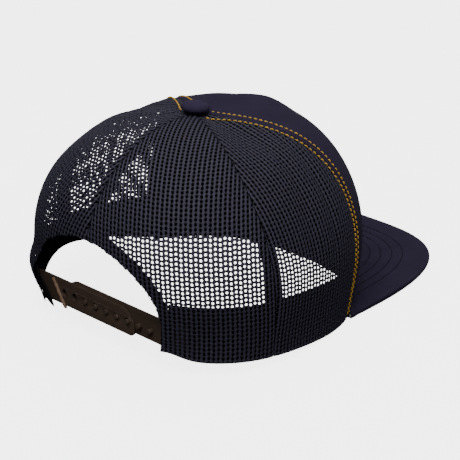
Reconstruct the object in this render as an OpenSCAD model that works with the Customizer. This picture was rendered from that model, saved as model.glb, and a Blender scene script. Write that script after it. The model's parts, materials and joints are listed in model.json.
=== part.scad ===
// Five-panel mesh-backed cap: cloth front, four net panels, flat bill and a snap strap.
// The rim lies in the z = 0 plane of the cap's own frame, the bill points to -Y and the
// wearer's right is -X. The whole cap is then pitched until it rests on its bill and rim.

/* [Crown] */
// Half width of the head opening
half_width = 87.5; // [80:0.5:92]
// Distance from the centre to the front of the rim
front_reach = 92.5; // [86:0.5:100]
// Distance from the centre to the back of the rim
back_reach = 83; // [80:0.5:92]
// Height of the crown at the button
crown_height = 115.5; // [108:0.5:126]
// How far behind the centre the button sits
button_y = 7.5; // [0:0.5:10]
// Rise of the rim over the bill
front_lift = 7.7; // [5:0.1:9]
// Extra fullness of the front panel
front_fullness = 8; // [2:0.5:10]

/* [Panels] */
// Direction of the front seams at the rim, from straight ahead, in degrees
front_seam_rim = 64; // [58:0.5:68]
// Direction of the front seams at the button
front_seam_top = 65.5; // [58:0.5:70]
// Direction of the side seams at the rim
side_seam_rim = 103; // [98:0.5:108]
// Direction of the side seams at the button
side_seam_top = 122.5; // [114:0.5:126]
// Thickness of the front cloth
cloth_t = 0.7; // [0.5:0.1:0.9]
// Thickness of the net
net_t = 1.0; // [0.6:0.1:1.2]
// Width of the seam tapes
tape_w = 11; // [8:0.5:13]

/* [Rear opening] */
// Half width of the rear opening at the rim
arch_half_w = 47.5; // [47:0.5:52]
// Height of the rear opening
arch_h = 57; // [50:1:62]
// Height of the rear opening's upright sides
arch_foot = 18; // [14:1:24]

/* [Sweatband] */
// Height of the sweatband
band_h = 33; // [26:1:36]

/* [Bill] */
// Half width of the bill
bill_half_w = 82.5; // [78:0.5:90]
// Distance from the front of the rim to the tip of the bill
bill_reach = 74; // [64:0.5:80]
// Roundness of the bill's outline: 2 is an ellipse, larger is squarer
bill_square = 3.3; // [2.4:0.1:3.6]
// Height of the bill's upper face at its corners
bill_corner_z = 5.2; // [4.4:0.2:6.4]
// Upward tilt of the bill, in degrees
bill_tilt = 5; // [3:0.5:7]
// Thickness of the plastic bill board
board_t = 1.8; // [1.4:0.1:2.2]

/* [Snap strap] */
// Height of each strap
strap_w = 14.8; // [14:0.2:16]
// Distance between snaps
snap_pitch = 8.6; // [8.2:0.1:9]
// Diameter of the strap's holes
hole_d = 4.2; // [4:0.1:4.6]
// Diameter of the pegs
peg_d = 3.4; // [3:0.1:3.6]
// Distance of the strap behind the centre, at the gap between its two halves
strap_y = 71; // [70.5:0.25:72]

/* [Hidden] */
$fn = 48;

navy = [0.13, 0.12, 0.2];
net_black = [0.07, 0.07, 0.1];
lining_black = [0.05, 0.05, 0.06];
gold = [0.75, 0.56, 0.18];
plastic_brown = [0.22, 0.17, 0.13];

// Shape exponents of the crown at its front, back and sides: how square its plan and
// its profile are, and how far it bulges above the rim.
plan_power = 0.825;
round_front = 1.2;
round_back = 0.82;
round_side = 0.74;
rise_front = 0.40;
rise_back = 0.52;
rise_side = 0.70;
bulge_back = 0.10;
hole_share = 0.045;      // radius of the crown's top hole, as a share of the rim's
seam_gap = 0.12;         // between neighbouring panels, in degrees

layer_gap = 0.12;
buckram_d = cloth_t + layer_gap;
buckram_t = 0.6;
tape_d = 1.6;
tape_t = 0.5;
tab_d = 2.3;
tab_t = 0.5;
foam_d = 2.3;
foam_t = 0.6;
band_d = 3.0;
band_t = 0.9;
band_end_x = 52;

cover_t = 0.5;
bill_t = 2 * cover_t + board_t + 2 * layer_gap;
board_inset = 1.2;
stitch_rows = 6;
stitch_first = 15;       // outermost row of bill stitching, from the edge
stitch_step = 6;
stitch_w = 0.6;
stitch_raise = 0.25;

strap_t = 1.4;
strap_gap = 0.3;
hinge_x = 45;
knuckle_r = 0.8;
snap_z = 11.4;            // height of the row of snaps
last_hole_x = -19.3;
holes = [for (i = [0:6]) last_hole_x + i * snap_pitch];
pegs = [for (i = [-2:4]) last_hole_x + i * snap_pitch];
holes_end_x = last_hole_x - 5.7;
pegs_end_x = pegs[6] + 20.9;
holes_strap_z = 4.1;
pegs_strap_z = 5.6;
peg_reach = 3.1;

// ---- crown surface ----------------------------------------------------------------
// a is the direction from the button, 0 at the front, 90 at the wearer's right and 180
// at the back. v runs from 0 at the rim to 1 at the top hole. d is the depth below the
// outer surface.
function front_share(a) = cos(a) > 0 ? pow(cos(a), 2) : 0;
function back_share(a) = cos(a) < 0 ? pow(cos(a), 2) : 0;
function side_share(a) = pow(sin(a), 2);
function blend(a, front, back, side) =
    front * front_share(a) + back * back_share(a) + side * side_share(a);
function signed_pow(x, p) = sign(x) * pow(abs(x), p);
function roundness(a) = blend(a, round_front, round_back, round_side);
function rise(a) = blend(a, rise_front, rise_back, rise_side);
function top_angle(a) = acos(pow(hole_share, 1 / roundness(a)));
function lift_angle(a, v) = top_angle(a) * pow(v, 1 / rise(a));
function level(a, v) = pow(sin(lift_angle(a, v)), rise(a));
function reach(a) = cos(a) > 0 ? front_reach : back_reach;
function spread(a, v) = pow(cos(lift_angle(a, v)), roundness(a))
    * (1 + blend(a, 0, bulge_back, bulge_back / 2) * pow(sin(180 * level(a, v)), 2));
function crown_pt(a, v, d) = [
    -(half_width - d) * signed_pow(sin(a), plan_power) * spread(a, v),
    button_y + (-(reach(a) - d) * signed_pow(cos(a), plan_power) - button_y) * spread(a, v),
    front_lift * front_share(a) * (1 - level(a, v)) + (crown_height - d) * level(a, v)
        + front_fullness * max(cos(a) + 0.2, 0) * pow(sin(2 * lift_angle(a, v)), 2)];
// v at which the crown reaches height z above the rim
function v_at(a, z) =
    pow(asin(pow(z / crown_height, 1 / rise(a))) / top_angle(a), rise(a));
function seam_front(v) = front_seam_rim + (front_seam_top - front_seam_rim) * pow(v, 1.5);
function seam_side(v) = side_seam_rim + (side_seam_top - side_seam_rim) * pow(v, 1.5);
// Direction, behind the side seams, in which the rim of depth d is at half width x
function dir_at(x, d) = 180 - asin(pow(x / (half_width - d), 1 / plan_power));
// Degrees of a that span a given length along the surface
function degrees_for(a, v, length) =
    2 * length / norm(crown_pt(a + 1, v, 0) - crown_pt(a - 1, v, 0));

// ---- closed shell from a grid of points ---------------------------------------------
// pt(u, w, side) gives the outer (side 0) and the inner (side 1) surface, u to the left
// as seen from outside and w upwards.
module grid_shell(nu, nw, pt) {
    row = nu + 1;
    layer = row * (nw + 1);
    points = [for (s = [0, 1], j = [0:nw], i = [0:nu]) pt(i / nu, j / nw, s)];
    function at(s, i, j) = s * layer + j * row + i;
    function quad(a, b, c, d) = [[a, b, c], [a, c, d]];
    quads = concat(
        [for (j = [0:nw - 1], i = [0:nu - 1])
            quad(at(0, i, j), at(0, i + 1, j), at(0, i + 1, j + 1), at(0, i, j + 1))],
        [for (j = [0:nw - 1], i = [0:nu - 1])
            quad(at(1, i, j), at(1, i, j + 1), at(1, i + 1, j + 1), at(1, i + 1, j))],
        [for (i = [0:nu - 1])
            quad(at(0, i + 1, 0), at(0, i, 0), at(1, i, 0), at(1, i + 1, 0))],
        [for (i = [0:nu - 1])
            quad(at(0, i, nw), at(0, i + 1, nw), at(1, i + 1, nw), at(1, i, nw))],
        [for (j = [0:nw - 1])
            quad(at(0, nu, j + 1), at(0, nu, j), at(1, nu, j), at(1, nu, j + 1))],
        [for (j = [0:nw - 1])
            quad(at(0, 0, j), at(0, 0, j + 1), at(1, 0, j + 1), at(1, 0, j))]);
    polyhedron(points, [for (q = quads) each q], convexity = 6);
}

// ---- crown panels ---------------------------------------------------------------------
module panel(from, to, low, d, t, nu = 14, nw = 20)
    grid_shell(nu, nw, function(u, w, s)
        let(v = low(u) + (1 - low(u)) * w,
            a = from(v) + seam_gap + (to(v) - from(v) - 2 * seam_gap) * u)
        crown_pt(a, v, d + s * t));
at_rim = function(u) 0;

module front_panel() color(navy) seated()
    panel(function(v) -seam_front(v), function(v) seam_front(v), at_rim, 0, cloth_t, 28);
module front_buckram() color(lining_black) seated()
    panel(function(v) 3 - seam_front(v), function(v) seam_front(v) - 3, function(u) 0.01,
          buckram_d, buckram_t, 20, 14);

module side_mesh() panel(function(v) seam_front(v), function(v) seam_side(v), at_rim, 0, net_t);
module side_mesh_right() color(net_black) seated() side_mesh();
module side_mesh_left() color(net_black) seated() mirror([1, 0, 0]) side_mesh();

// The rear opening's edge: v of its upper edge in direction a
arch_from = dir_at(arch_half_w, 0);
arch_top = v_at(180, arch_h);
arch_low = v_at(180, arch_foot);
arch_power = 1.65;
function arch_v(a) = a < arch_from ? 0 : arch_low + (arch_top - arch_low)
    * pow(max(0, 1 - pow((180 - a) / (180 - arch_from), arch_power)), 1 / arch_power);
// Columns crowd towards the foot of the arch, where its edge is steepest
side_columns = 6;
arch_columns = 14;
function back_column(u) = let(k = u * (side_columns + arch_columns) - side_columns)
    k < 0 ? side_seam_rim + (arch_from - side_seam_rim) * 0.985
                * (1 + (k + 1) / (side_columns - 1))
          : arch_from + (180 - arch_from) * (1 - cos(90 * k / arch_columns));
module back_mesh()
    grid_shell(side_columns + arch_columns, 18, function(u, w, s)
        let(a0 = back_column(u), low = arch_v(a0), v = low + (1 - low) * w,
            share = (a0 - side_seam_rim) / (180 - side_seam_rim),
            start = seam_side(v) + seam_gap,
            a = start + (180 - seam_gap - start) * share)
        crown_pt(a, v, s * net_t));
module back_mesh_right() color(net_black) seated() back_mesh();
module back_mesh_left() color(net_black) seated() mirror([1, 0, 0]) back_mesh();

// ---- seam tapes and arch binding ---------------------------------------------------
module tape(seam, low, high)
    grid_shell(2, 18, function(u, w, s)
        let(v = low + (high - low) * w,
            a = seam(v) + (u * 2 - 1) * degrees_for(seam(v), v, tape_w / 2))
        crown_pt(a, v, tape_d + s * tape_t));
tape_top = 0.93;
binding_w = 0.055;       // width of the arch binding, in v
module tape_side() tape(function(v) seam_side(v), 0.01, tape_top);
module tape_front() tape(function(v) seam_front(v), 0.01, tape_top);
module seam_tape_back() color(lining_black) seated()
    tape(function(v) 180, arch_top + binding_w + 0.01, tape_top);
module seam_tape_side_right() color(lining_black) seated() tape_side();
module seam_tape_side_left() color(lining_black) seated() mirror([1, 0, 0]) tape_side();
module seam_tape_front_right() color(lining_black) seated() tape_front();
module seam_tape_front_left() color(lining_black) seated() mirror([1, 0, 0]) tape_front();

module arch_binding() color(lining_black) seated()
    grid_shell(32, 1, function(u, w, s)
        let(foot = 0.125, turn = 180 * min(1, max(0, (u - foot) / (1 - 2 * foot))),
            half = 180 - arch_from + w * 4.2,
            a = 180 - half * signed_pow(cos(turn), 2 / arch_power),
            v = arch_low * min(1, u / foot, (1 - u) / foot)
                + (arch_top + w * binding_w - arch_low) * pow(sin(turn), 2 / arch_power))
        crown_pt(a, v, tape_d + s * tape_t));

// ---- sweatband -----------------------------------------------------------------------
module band(half_angle, low, high, d, t, nu)
    grid_shell(nu, 4, function(u, w, s)
        let(a = half_angle * (2 * u - 1), z = low + (high - low) * w)
        crown_pt(a, z == 0 ? 0 : v_at(a, z), d + s * t));
module sweatband() color(lining_black) seated()
    band(dir_at(band_end_x, band_d), 0, band_h, band_d, band_t, 56);
module sweatband_foam() color("dimgray") seated()
    band(front_seam_rim - 8, 2, band_h - 3, foam_d, foam_t, 20);

// ---- button --------------------------------------------------------------------------
button_r = 8.1;
button_h = 6.4;
shank_r = 1.8;
rivet_r = 6.5;
module top_button() color(navy) seated()
    translate([0, button_y, crown_height + 0.15]) difference() {
        rotate_extrude() polygon(concat([[0, 0]], [for (t = [0:9:90])
            [button_r * cos(t), 0.8 + (button_h - 0.8) * sin(t)]], [[0, button_h]],
            [[0, 0]]));
        translate([0, 0, -1]) cylinder(r = shank_r + 0.05, h = 4);
    }
module button_rivet() color("silver") seated()
    translate([0, button_y, crown_height - 2.6]) {
        cylinder(r = rivet_r, h = 0.6);
        cylinder(r = shank_r, h = 4.5);
    }

// ---- bill -----------------------------------------------------------------------------
bill_clear = 0.6;       // between the crown and the bill's inner edge
corner = crown_pt(front_seam_rim, 0, -bill_clear);
// A point of the bill, given in plan, at height h over its upper face
function bill_pt(p, h) = [p[0], corner[1] + (p[1] - corner[1]) * cos(bill_tilt)
    + h * sin(bill_tilt), bill_corner_z - (p[1] - corner[1]) * sin(bill_tilt)
    + h * cos(bill_tilt)];
// Outline of the bill's free edge, closed straight across its corners
module bill_outline(inset) {
    side = bill_half_w - inset;
    length = front_reach + bill_reach + corner[1] - inset;
    power = 2 / bill_square;
    polygon([for (t = [-90:3:90]) [side * signed_pow(sin(t), power),
        corner[1] - length * pow(abs(cos(t)), power)]]);
}
module crown_plan()
    polygon([for (a = [-180:4:176]) let(p = crown_pt(a, 0, -bill_clear)) [p[0], p[1]]]);
module bill_layer(top, t) seated()
    translate([0, corner[1], bill_corner_z]) rotate([-bill_tilt, 0, 0])
        translate([0, -corner[1], top - t]) linear_extrude(t) difference() {
            children();
            crown_plan();
        }
module bill_top_cloth() color(navy) bill_layer(0, cover_t) bill_outline(0);
module bill_board() color("white")
    bill_layer(-cover_t - layer_gap, board_t) bill_outline(board_inset);
module bill_under_cloth() color(navy) bill_layer(cover_t - bill_t, cover_t) bill_outline(0);
module bill_stitching() color(lining_black)
    bill_layer(stitch_raise, stitch_raise)
        for (i = [0:stitch_rows - 1]) difference() {
            bill_outline(stitch_first + i * stitch_step);
            bill_outline(stitch_first + i * stitch_step + stitch_w);
        }

// ---- rest attitude ------------------------------------------------------------------
// The cap leans forward on the tip of its bill and on the rim beside the front seams
bill_tip = bill_pt([0, -front_reach - bill_reach], -bill_t);
rim_foot = crown_pt(front_seam_rim, 0, 0);
pitch = atan((bill_tip[2] - rim_foot[2]) / (rim_foot[1] - bill_tip[1]));
function pitched_z(p) = p[1] * sin(pitch) + p[2] * cos(pitch);
rim_low = min([for (a = [0:4:180]) pitched_z(crown_pt(a, 0, 0))]);
seat_lift = -min(rim_low, pitched_z(bill_tip));
module seated() translate([0, 0, seat_lift]) rotate([pitch, 0, 0]) children();

// ---- gold topstitching along the front seams ------------------------------------------
row_offset = 3.5;
thread_w = 0.7;
module topstitch() for (side = [-1, 1])
    grid_shell(1, 24, function(u, w, s)
        let(v = 0.02 + 0.92 * w, step = side * row_offset + (u - 0.5) * thread_w)
        crown_pt(seam_front(v) + sign(step) * degrees_for(seam_front(v), v, abs(step)), v,
                 -0.5 + s * 0.35));
module topstitch_right() color(gold) seated() topstitch();
module topstitch_left() color(gold) seated() mirror([1, 0, 0]) topstitch();

// ---- snap strap ------------------------------------------------------------------------
// Flat plastic strap from the hinge at x = 0 towards +X, standing on z = 0
module strap_plate(length, w, low_r, high_r) rotate([90, 0, 0])
    translate([0, 0, -strap_t / 2]) linear_extrude(strap_t) hull() {
        square([length - w, w]);
        translate([length - low_r, low_r]) circle(low_r);
        translate([length - high_r, w - high_r]) circle(high_r);
    }
module strap_with_holes() color(plastic_brown) seated()
    translate([hinge_x, strap_y + (strap_gap + strap_t) / 2, holes_strap_z]) difference() {
        union() {
            mirror([1, 0, 0]) strap_plate(hinge_x - holes_end_x, strap_w, 3, 9);
            cylinder(r = knuckle_r, h = strap_w);
        }
        for (x = holes) translate([x - hinge_x, 0, snap_z - holes_strap_z])
            rotate([90, 0, 0]) cylinder(d = hole_d, h = 3 * strap_t, center = true);
    }
module strap_with_pegs() color(plastic_brown) seated()
    translate([-hinge_x, strap_y - (strap_gap + strap_t) / 2, pegs_strap_z]) {
        strap_plate(hinge_x + pegs_end_x, strap_w, 3, 9);
        cylinder(r = knuckle_r, h = strap_w);
        for (x = pegs) translate([x + hinge_x, 0, snap_z - pegs_strap_z])
            rotate([-90, 0, 0]) cylinder(d = peg_d, h = strap_t / 2 + peg_reach);
    }
// Sewn flange at each strap's end, inside the net
tab_near = hinge_x + knuckle_r + 0.35;
tab_far = 58;
module strap_tab()
    grid_shell(4, 3, function(u, w, s)
        let(a = dir_at(tab_far + (tab_near - tab_far) * u, tab_d + tab_t),
            z = holes_strap_z + strap_w * w)
        crown_pt(a, v_at(a, z), tab_d + s * tab_t));
module strap_tab_right() color(plastic_brown) seated() strap_tab();
module strap_tab_left() color(plastic_brown) seated() mirror([1, 0, 0]) strap_tab();

front_panel();
front_buckram();
side_mesh_right();
side_mesh_left();
back_mesh_right();
back_mesh_left();
seam_tape_back();
seam_tape_side_right();
seam_tape_side_left();
seam_tape_front_right();
seam_tape_front_left();
arch_binding();
sweatband();
sweatband_foam();
top_button();
button_rivet();
bill_top_cloth();
bill_board();
bill_under_cloth();
bill_stitching();
topstitch_right();
topstitch_left();
strap_tab_left();
strap_tab_right();
strap_with_holes();
strap_with_pegs();
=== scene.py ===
"""Looks of a five-panel cap with a net back, laid out as a Blender add-on."""
import sys
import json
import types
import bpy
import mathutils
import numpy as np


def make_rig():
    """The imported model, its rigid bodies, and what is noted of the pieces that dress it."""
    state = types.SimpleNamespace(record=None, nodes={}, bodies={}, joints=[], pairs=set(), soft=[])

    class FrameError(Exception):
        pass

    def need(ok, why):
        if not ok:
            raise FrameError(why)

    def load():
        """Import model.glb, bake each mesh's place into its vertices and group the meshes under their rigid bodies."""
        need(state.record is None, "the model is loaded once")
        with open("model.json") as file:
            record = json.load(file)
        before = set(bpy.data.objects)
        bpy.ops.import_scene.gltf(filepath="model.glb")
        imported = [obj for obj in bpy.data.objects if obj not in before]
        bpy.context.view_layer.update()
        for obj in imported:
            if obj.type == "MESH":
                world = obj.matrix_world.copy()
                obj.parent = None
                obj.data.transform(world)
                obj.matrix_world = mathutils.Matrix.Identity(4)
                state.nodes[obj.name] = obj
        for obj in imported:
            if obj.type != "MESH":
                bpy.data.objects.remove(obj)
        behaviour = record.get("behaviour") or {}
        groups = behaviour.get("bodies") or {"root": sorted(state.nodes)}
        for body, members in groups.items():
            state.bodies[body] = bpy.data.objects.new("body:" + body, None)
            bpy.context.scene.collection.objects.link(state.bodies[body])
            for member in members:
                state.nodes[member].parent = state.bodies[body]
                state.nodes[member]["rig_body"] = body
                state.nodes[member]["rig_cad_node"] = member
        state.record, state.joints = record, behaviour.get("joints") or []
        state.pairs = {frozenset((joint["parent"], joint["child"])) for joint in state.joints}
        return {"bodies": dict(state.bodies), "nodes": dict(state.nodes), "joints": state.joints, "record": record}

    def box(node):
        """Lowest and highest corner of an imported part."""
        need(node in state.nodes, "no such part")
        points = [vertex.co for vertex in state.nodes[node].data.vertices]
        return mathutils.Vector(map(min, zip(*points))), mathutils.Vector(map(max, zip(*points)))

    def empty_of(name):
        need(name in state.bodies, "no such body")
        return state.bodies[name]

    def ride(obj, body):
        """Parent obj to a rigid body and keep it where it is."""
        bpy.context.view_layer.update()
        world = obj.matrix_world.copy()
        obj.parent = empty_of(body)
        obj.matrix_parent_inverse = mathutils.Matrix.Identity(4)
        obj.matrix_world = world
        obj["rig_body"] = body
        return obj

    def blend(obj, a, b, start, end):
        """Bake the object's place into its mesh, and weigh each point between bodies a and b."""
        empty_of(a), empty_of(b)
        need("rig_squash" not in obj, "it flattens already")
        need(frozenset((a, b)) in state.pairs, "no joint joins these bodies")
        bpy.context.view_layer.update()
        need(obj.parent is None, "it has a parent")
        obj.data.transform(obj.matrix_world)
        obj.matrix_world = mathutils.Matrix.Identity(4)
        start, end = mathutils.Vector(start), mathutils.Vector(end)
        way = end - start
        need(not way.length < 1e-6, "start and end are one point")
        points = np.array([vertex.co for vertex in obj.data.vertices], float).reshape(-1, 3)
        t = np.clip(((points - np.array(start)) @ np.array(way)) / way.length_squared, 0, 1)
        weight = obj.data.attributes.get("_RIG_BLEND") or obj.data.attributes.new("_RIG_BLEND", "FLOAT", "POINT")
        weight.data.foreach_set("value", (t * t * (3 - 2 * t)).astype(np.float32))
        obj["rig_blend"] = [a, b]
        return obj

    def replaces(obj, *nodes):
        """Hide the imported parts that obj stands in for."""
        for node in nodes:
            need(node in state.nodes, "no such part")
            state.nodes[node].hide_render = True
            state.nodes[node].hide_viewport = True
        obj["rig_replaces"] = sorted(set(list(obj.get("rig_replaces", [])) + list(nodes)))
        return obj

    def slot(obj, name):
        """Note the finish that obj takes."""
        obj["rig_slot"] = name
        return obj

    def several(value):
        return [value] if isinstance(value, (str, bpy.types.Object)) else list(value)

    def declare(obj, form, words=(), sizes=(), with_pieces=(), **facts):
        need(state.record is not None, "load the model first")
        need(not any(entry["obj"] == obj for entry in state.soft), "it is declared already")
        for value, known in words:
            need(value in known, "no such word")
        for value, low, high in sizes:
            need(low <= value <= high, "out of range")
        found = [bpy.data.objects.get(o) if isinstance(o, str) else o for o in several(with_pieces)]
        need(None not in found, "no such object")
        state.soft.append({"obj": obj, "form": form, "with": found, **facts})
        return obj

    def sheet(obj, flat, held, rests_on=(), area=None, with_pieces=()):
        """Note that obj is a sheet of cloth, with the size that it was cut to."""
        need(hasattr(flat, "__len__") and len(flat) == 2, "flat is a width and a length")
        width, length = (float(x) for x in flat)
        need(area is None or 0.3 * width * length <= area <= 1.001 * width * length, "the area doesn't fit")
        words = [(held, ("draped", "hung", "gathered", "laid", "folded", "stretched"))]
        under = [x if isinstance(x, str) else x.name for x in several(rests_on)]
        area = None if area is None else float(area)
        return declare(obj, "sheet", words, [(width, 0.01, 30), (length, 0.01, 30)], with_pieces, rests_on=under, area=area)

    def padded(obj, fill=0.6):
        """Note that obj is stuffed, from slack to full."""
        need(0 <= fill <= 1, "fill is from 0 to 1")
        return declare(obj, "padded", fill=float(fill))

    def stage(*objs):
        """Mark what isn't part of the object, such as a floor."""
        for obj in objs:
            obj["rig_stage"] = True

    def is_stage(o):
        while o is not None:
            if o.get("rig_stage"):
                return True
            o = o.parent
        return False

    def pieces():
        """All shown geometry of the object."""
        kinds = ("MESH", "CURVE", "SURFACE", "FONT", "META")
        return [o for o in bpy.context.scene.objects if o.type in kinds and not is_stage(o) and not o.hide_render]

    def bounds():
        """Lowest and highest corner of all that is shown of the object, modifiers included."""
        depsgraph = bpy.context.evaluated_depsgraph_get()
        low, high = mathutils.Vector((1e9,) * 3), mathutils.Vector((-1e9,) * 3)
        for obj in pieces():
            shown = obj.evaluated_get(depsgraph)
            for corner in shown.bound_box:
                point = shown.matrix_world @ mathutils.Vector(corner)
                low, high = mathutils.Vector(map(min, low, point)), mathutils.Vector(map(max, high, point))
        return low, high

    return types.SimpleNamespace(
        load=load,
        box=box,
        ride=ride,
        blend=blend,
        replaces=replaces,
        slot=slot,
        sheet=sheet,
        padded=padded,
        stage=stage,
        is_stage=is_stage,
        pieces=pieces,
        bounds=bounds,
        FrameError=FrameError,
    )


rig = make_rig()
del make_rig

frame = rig.load()

import json
import math

import bmesh
import bpy
import numpy as np
from mathutils import Matrix, Vector

bl_info = {
    "name": "Net-backed cap",
    "version": (1, 0, 0),
    "blender": (4, 5, 0),
    "location": "View3D > Sidebar > Cap",
    "description": "Builds the cloth, net, bill, stitching and snap strap of a cap",
    "category": "Object",
}

MM = 0.001
CAD_BOX = [[round(c, 6) for c in corner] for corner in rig.bounds()]

# ---- the crown's surface ------------------------------------------------------------
# a is the direction from the button in degrees: 0 at the front, 90 at the wearer's
# right, 180 at the back, and negative on the wearer's left. v runs from 0 at the rim to
# 1 at the top hole, and depth is how far below the outer surface a layer lies.
HALF_WIDTH, FRONT_REACH, BACK_REACH = 87.5 * MM, 92.5 * MM, 83 * MM
CROWN_HEIGHT, BUTTON_Y = 115.5 * MM, 7.5 * MM
FRONT_LIFT, FRONT_FULLNESS = 7.7 * MM, 8 * MM
PLAN_POWER = 0.825
ROUND = (1.2, 0.82, 0.74)     # front, back, side
RISE = (0.40, 0.52, 0.70)
BULGE = 0.10
HOLE_SHARE = 0.045
FRONT_SEAM = (64, 65.5)       # at the rim and at the button
SIDE_SEAM = (103, 122.5)
ARCH_HALF_WIDTH, ARCH_HEIGHT, ARCH_FOOT, ARCH_POWER = 47.5 * MM, 57 * MM, 18 * MM, 1.65
BAND_HEIGHT = 33 * MM

STRAP_AXIS = Vector(frame["record"]["behaviour"]["joints"][0]["axis"])
PITCH = math.atan2(STRAP_AXIS.y, -STRAP_AXIS.z)


def shares(a):
    """Weights of the front, back and side profiles in direction a."""
    c, s = np.cos(np.radians(a)), np.sin(np.radians(a))
    return np.clip(c, 0, 1) ** 2, np.clip(-c, 0, 1) ** 2, s * s


def mix_profiles(a, values):
    return sum(share * value for share, value in zip(shares(a), values))


def signed_power(x, power):
    return np.sign(x) * np.abs(x) ** power


def lift_angle(a, v):
    top = np.arccos(HOLE_SHARE ** (1 / mix_profiles(a, ROUND)))
    return top * np.clip(v, 0, 1.02) ** (1 / mix_profiles(a, RISE))


def cap_point(a, v, depth=0.0):
    """Point of the crown in the cap's own frame, whose rim lies in z = 0."""
    a, v, depth = np.broadcast_arrays(*(np.asarray(x, float) for x in (a, v, depth)))
    c, s = np.cos(np.radians(a)), np.sin(np.radians(a))
    angle = lift_angle(a, v)
    level = np.clip(np.sin(angle), 0, 1) ** mix_profiles(a, RISE)
    spread = np.clip(np.cos(angle), 0, 1) ** mix_profiles(a, ROUND)
    spread = spread * (1 + mix_profiles(a, (0, BULGE, BULGE / 2)) * np.sin(np.pi * level) ** 2)
    reach = np.where(c > 0, FRONT_REACH, BACK_REACH) - depth
    x = -(HALF_WIDTH - depth) * signed_power(s, PLAN_POWER) * spread
    y = BUTTON_Y + (-reach * signed_power(c, PLAN_POWER) - BUTTON_Y) * spread
    z = (FRONT_LIFT * shares(a)[0] * (1 - level) + (CROWN_HEIGHT - depth) * level
         + FRONT_FULLNESS * np.clip(c + 0.2, 0, 2) * np.sin(2 * angle) ** 2)
    return np.stack([x, y, z], -1)


def level_to_v(a, z):
    """v at which the crown reaches height z above the rim."""
    rise = mix_profiles(a, RISE)
    top = np.arccos(HOLE_SHARE ** (1 / mix_profiles(a, ROUND)))
    return (np.arcsin((np.maximum(z, 0) / CROWN_HEIGHT) ** (1 / rise)) / top) ** rise


def seat(points):
    """Turn points of the cap's own frame into the row's frame, where the cap rests."""
    p = np.asarray(points, float)
    c, s = math.cos(PITCH), math.sin(PITCH)
    return np.stack([p[..., 0], p[..., 1] * c - p[..., 2] * s,
                     p[..., 1] * s + p[..., 2] * c + SEAT_LIFT], -1)


SEAT_LIFT = 0.0
SEAT_LIFT = -float(seat(cap_point(np.arange(0, 181, 4), 0))[:, 2].min())


def seam(ends, v):
    return ends[0] + (ends[1] - ends[0]) * np.asarray(v, float) ** 1.5


def rim_direction(x, depth=0.0):
    """Direction, behind the side seams, in which the rim is at half width x."""
    return 180 - math.degrees(math.asin((x / (HALF_WIDTH - depth)) ** (1 / PLAN_POWER)))


ARCH_FROM = rim_direction(ARCH_HALF_WIDTH)
ARCH_TOP = float(level_to_v(180.0, ARCH_HEIGHT))
ARCH_LOW = float(level_to_v(180.0, ARCH_FOOT))


def degrees_per_metre(a, v):
    step = 0.5
    return 2 * step / np.linalg.norm(cap_point(a + step, v) - cap_point(a - step, v), axis=-1)


def seam_distance(a, v, ends):
    """Distance along the surface from a seam, measured at the same height."""
    line = seam(ends, v)
    return np.abs(np.abs(a) - line) / degrees_per_metre(line, v)


def bump_at(x, centre, width):
    return np.exp(-((x - centre) / width) ** 2)


def relaxed_depth(a, v):
    """How the cloth lies below the smooth crown: seam grooves, slack and slight waves."""
    side_middle = (seam(FRONT_SEAM, v) + seam(SIDE_SEAM, v)) / 2
    back_middle = (seam(SIDE_SEAM, v) + 180) / 2
    slack = 2.4 * MM * bump_at(np.abs(a), side_middle, 13) * bump_at(v, 0.86, 0.11)
    slack += 1.6 * MM * bump_at(np.abs(a), back_middle, 20) * bump_at(v, 0.80, 0.14)
    waves = 0.35 * MM * np.sin(np.radians(a * 7) + 6 * v) * np.sin(9 * v + np.radians(a * 2))
    folds = bump_at(np.abs(a), 84 - 10 * v, 2.2) + 0.8 * bump_at(np.abs(a), 92 - 6 * v, 2.2)
    waves = waves + 0.9 * MM * folds * bump_at(v, 0.5, 0.28)
    groove = 0.0
    for ends, deep in ((FRONT_SEAM, 0.6), (SIDE_SEAM, 0.35), ((180, 180), 0.35)):
        groove = groove + deep * MM * np.exp(-(seam_distance(a, v, ends) / (1.8 * MM)) ** 2)
    return slack + waves + groove


def smooth_step(x):
    x = np.clip(x, 0, 1)
    return x * x * (3 - 2 * x)


LEFT_RAISE, LEFT_BULGE, LEFT_TUCK = 15 * MM, 9 * MM, 1.5 * MM
RIGHT_RAISE = 4 * MM


def edge_shift(z):
    """Sideways shift of the rear opening's left edge at height z: tucked in low down."""
    tuck = LEFT_TUCK * np.clip(1 - np.maximum(z, 0) / (9 * MM), 0, 1)
    return LEFT_BULGE * bump_at(z, 17 * MM, 12 * MM) - tuck


def settle(a, points):
    """Lay the soft cap a little askew: its left side is pushed up and bulges out."""
    side, z = np.abs(a), points[..., 2]
    left = np.where(np.asarray(a) < 0, 1.0, 0.0) * smooth_step((180 - side) / 22)
    up = LEFT_RAISE * bump_at(side, 104, 32) * np.clip(1 - z / (48 * MM), 0, 1) ** 2
    right_up = np.where(np.asarray(a) >= 0, RIGHT_RAISE, 0.0) * bump_at(side, 150, 9)
    right_up = right_up * np.clip(1 - z / (14 * MM), 0, 1) ** 1.5
    moved = np.array(points, float)
    moved[..., 0] += left * edge_shift(z) * bump_at(side, 148, 28)
    moved[..., 2] += left * up + right_up
    return moved


def lining_point(a, v, depth):
    """Point at an even depth inside the crown, in the row's frame."""
    return seat(settle(a, cap_point(a, v, depth)))


def crown_point(a, v, depth=0.0):
    """Point of the relaxed crown in the row's frame."""
    return lining_point(a, v, np.asarray(depth) + relaxed_depth(a, v))


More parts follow.
